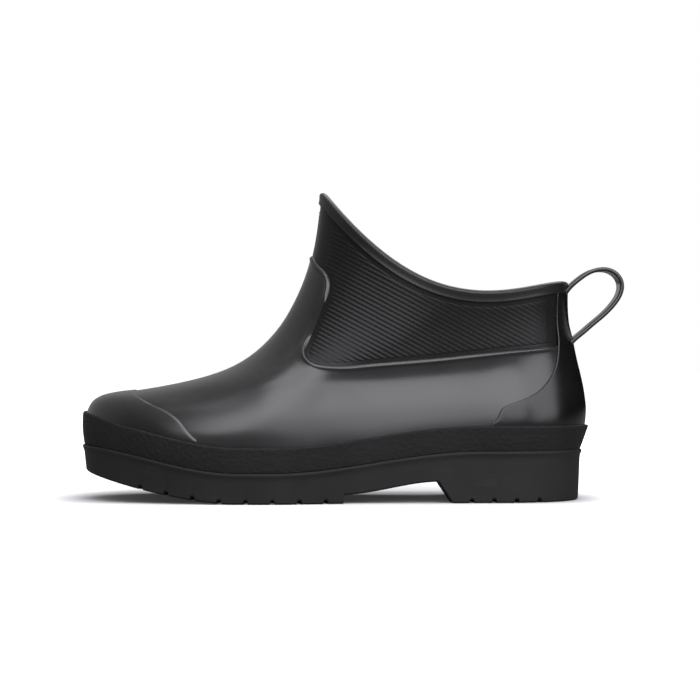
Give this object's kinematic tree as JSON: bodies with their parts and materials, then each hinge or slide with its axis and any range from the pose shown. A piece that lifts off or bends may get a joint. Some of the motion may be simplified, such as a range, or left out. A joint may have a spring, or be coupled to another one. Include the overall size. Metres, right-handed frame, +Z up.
{
  "type": "rubber ankle boot",
  "caption": "Low moulded rubber ankle boot for the left foot, with a high front peak, ribbed ankle, beaded instep tab, toe cap, heel counter, pull loop, foxing band and heeled tread sole.",
  "frame": {"origin": "on the floor under the middle of the boot's length and width, the loop included", "axes": "+X from toe to heel, -Y to the boot's outer side, +Z up"},
  "size_m": [0.3097, 0.1109, 0.1752],
  "materials": {
    "upper_rubber": "semi-gloss moulded black",
    "heel_rubber": "glossy moulded black",
    "strap_rubber": "satin black",
    "foxing_rubber": "fine rough matte black",
    "tread_rubber": "matte black",
    "lining_cloth": "dark knitted cloth"
  },
  "bodies": {
    "root": {"upper": "upper_rubber", "toe_cap": "upper_rubber", "heel_counter": "heel_rubber", "collar_binding": "upper_rubber", "pull_loop": "strap_rubber", "foxing": "foxing_rubber", "outsole": "tread_rubber", "insole": "lining_cloth"}
  },
  "joints": []
}
